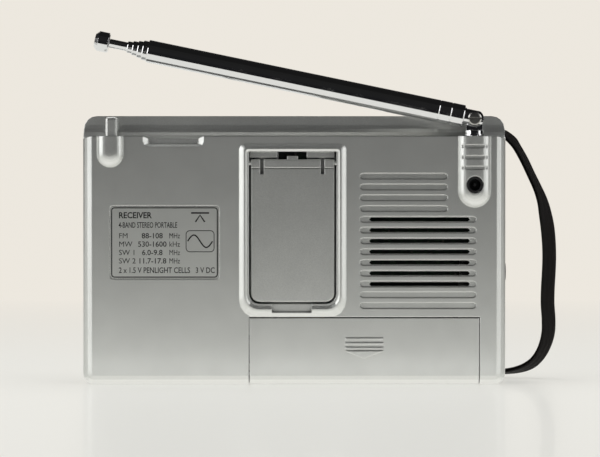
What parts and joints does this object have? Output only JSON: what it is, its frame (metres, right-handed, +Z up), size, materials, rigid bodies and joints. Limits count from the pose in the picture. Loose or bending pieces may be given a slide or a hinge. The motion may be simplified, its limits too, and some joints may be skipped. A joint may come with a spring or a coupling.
{
  "type": "shortwave receiver",
  "caption": "Pocket shortwave receiver with a telescopic aerial, fold-out stand, sliding battery door, slide-rule dial and wrist strap.",
  "frame": {"origin": "on the resting plane below the middle of the case", "axes": "+Z up, -Y out of the dial side, +Y out of the back with the stand and the battery door, +X to the tuning wheel's side; at rest the aerial rises toward +X"},
  "size_m": [0.1542, 0.0373, 0.114],
  "materials": {
    "silver_paint": "satin silver paint",
    "chrome": "polished",
    "zinc_steel": "plated",
    "black_plastic": "moulded",
    "circuit_board": "solder mask",
    "printed_foil": "printed foil",
    "cone_paper": "pulp cone",
    "ferrite": "sintered",
    "clear_lens": "clear acrylic",
    "dial_print": "printed sheet",
    "pointer_red": "moulded",
    "cord": "braided",
    "white_plastic": "moulded",
    "cream_plastic": "moulded",
    "phenolic": "laminate",
    "lamp_red": "clear tint",
    "lamp_green": "clear tint",
    "sleeve_blue": "shrink sleeve",
    "copper": "enamelled wire",
    "cell_jacket": "printed jacket",
    "black_webbing": "woven tape"
  },
  "bodies": {
    "case": {"back_cover": "silver_paint", "band_switch": "zinc_steel", "board_screw_left": "zinc_steel", "board_screw_right": "zinc_steel", "case_screw_left": "zinc_steel", "case_screw_right": "zinc_steel", "cell_lower": "cell_jacket", "cell_upper": "cell_jacket", "chip_audio": "black_plastic", "chip_tuner": "black_plastic", "contact_bridge": "zinc_steel", "contact_negative": "zinc_steel", "contact_positive": "zinc_steel", "dc_socket": "black_plastic", "dial_cord": "cord", "dial_lens": "clear_lens", "dial_plate": "dial_print", "ferrite_coil": "copper", "ferrite_rod": "ferrite", "filter_capacitor": "sleeve_blue", "front_shell": "silver_paint", "headphone_socket": "black_plastic", "if_can_1": "zinc_steel", "if_can_2": "zinc_steel", "led_stereo": "lamp_green", "led_tune": "lamp_red", "main_board": "circuit_board", "power_switch": "zinc_steel", "rating_label": "printed_foil", "rod_holder_left": "black_plastic", "rod_holder_right": "black_plastic", "speaker_frame": "zinc_steel", "speaker_magnet": "ferrite", "stereo_switch": "zinc_steel", "tuning_capacitor": "cream_plastic", "volume_control": "phenolic"},
    "battery_door": {"battery_door": "silver_paint"},
    "stand": {"stand": "silver_paint"},
    "aerial_base": {"aerial_base": "chrome", "aerial_screw": "zinc_steel"},
    "aerial_arm": {"aerial_knuckle": "chrome", "aerial_tube_1": "chrome", "pivot_screw": "zinc_steel"},
    "aerial_2": {"aerial_tube_2": "chrome"},
    "aerial_3": {"aerial_tube_3": "chrome"},
    "aerial_4": {"aerial_tube_4": "chrome"},
    "aerial_5": {"aerial_tube_5": "chrome"},
    "aerial_tip": {"aerial_rod": "chrome", "aerial_cap": "chrome"},
    "tuning_wheel": {"tuning_wheel": "black_plastic"},
    "dial_pointer": {"dial_pointer": "pointer_red"},
    "cord_pulley_left": {"cord_pulley_left": "white_plastic"},
    "cord_pulley_right": {"cord_pulley_right": "white_plastic"},
    "volume_wheel": {"volume_wheel": "black_plastic"},
    "band_knob": {"band_knob": "black_plastic"},
    "power_knob": {"power_knob": "black_plastic"},
    "stereo_knob": {"stereo_knob": "black_plastic"},
    "speaker_cone": {"speaker_cone": "cone_paper"},
    "wrist_strap": {"wrist_strap": "black_webbing"}
  },
  "joints": [
    {"name": "aerial_swivel", "type": "hinge", "parent": "case", "child": "aerial_base", "pos_m": [-0.058, 0.0094, 0.0858], "axis": [0, 0, 1], "range_deg": [0, 180]},
    {"name": "aerial_tilt", "type": "hinge", "parent": "aerial_base", "child": "aerial_arm", "pos_m": [-0.058, 0.0094, 0.0858], "axis": [0, -1, 0], "range_deg": [-13.04, 78.33]},
    {"name": "aerial_slide_1", "type": "slide", "parent": "aerial_arm", "child": "aerial_2", "axis": [0.9793, 0, 0.2023], "range_m": [0, 0.084]},
    {"name": "aerial_slide_2", "type": "slide", "parent": "aerial_2", "child": "aerial_3", "axis": [0.9793, 0, 0.2023], "range_m": [0, 0.084]},
    {"name": "aerial_slide_3", "type": "slide", "parent": "aerial_3", "child": "aerial_4", "axis": [0.9793, 0, 0.2023], "range_m": [0, 0.084]},
    {"name": "aerial_slide_4", "type": "slide", "parent": "aerial_4", "child": "aerial_5", "axis": [0.9793, 0, 0.2023], "range_m": [0, 0.084]},
    {"name": "aerial_slide_5", "type": "slide", "parent": "aerial_5", "child": "aerial_tip", "axis": [0.9793, 0, 0.2023], "range_m": [0, 0.084]},
    {"name": "stand_hinge", "type": "hinge", "parent": "case", "child": "stand", "pos_m": [0.0005, 0.0109, 0.0714], "axis": [1, 0, 0], "range_deg": [0, 55]},
    {"name": "battery_door_slide", "type": "slide", "parent": "case", "child": "battery_door", "axis": [0, 0, -1], "range_m": [0, 0.024]},
    {"name": "tuning_turn", "type": "hinge", "parent": "case", "child": "tuning_wheel", "pos_m": [0.0509, -0.0082, 0.03], "axis": [0, 1, 0], "range_deg": [-90, 90]},
    {"name": "pointer_travel", "type": "slide", "parent": "case", "child": "dial_pointer", "axis": [1, 0, 0], "range_m": [-0.0226, 0.0226]},
    {"name": "pulley_left_turn", "type": "hinge", "parent": "case", "child": "cord_pulley_left", "pos_m": [0.0045, -0.0047, 0.0466], "axis": [0, 1, 0], "range_deg": [-470, 470]},
    {"name": "pulley_right_turn", "type": "hinge", "parent": "case", "child": "cord_pulley_right", "pos_m": [0.0605, -0.0047, 0.0466], "axis": [0, 1, 0], "range_deg": [-470, 470]},
    {"name": "volume_turn", "type": "hinge", "parent": "case", "child": "volume_wheel", "pos_m": [-0.0586, -0.0002, 0.0561], "axis": [0, 1, 0], "range_deg": [-135, 135]},
    {"name": "band_slide", "type": "slide", "parent": "case", "child": "band_knob", "axis": [1, 0, 0], "range_m": [0, 0.009]},
    {"name": "power_slide", "type": "slide", "parent": "case", "child": "power_knob", "axis": [1, 0, 0], "range_m": [0, 0.003]},
    {"name": "stereo_slide", "type": "slide", "parent": "case", "child": "stereo_knob", "axis": [0, 0, 1], "range_m": [0, 0.003]},
    {"name": "cone_travel", "type": "slide", "parent": "case", "child": "speaker_cone", "axis": [0, 1, 0], "range_m": [-0.0004, 0.0004], "stiffness_N_per_m": 600},
    {"name": "strap_swing", "type": "hinge", "parent": "case", "child": "wrist_strap", "pos_m": [-0.066, -0.0054, 0.0804], "axis": [0, 1, 0], "range_deg": [0, 45]}
  ],
  "couplings": [
    {"joint": "pointer_travel", "follows": "tuning_turn", "m_per_rad": 0.01435},
    {"joint": "pulley_left_turn", "follows": "tuning_turn", "ratio": 5.2182},
    {"joint": "pulley_right_turn", "follows": "tuning_turn", "ratio": 5.2182}
  ]
}
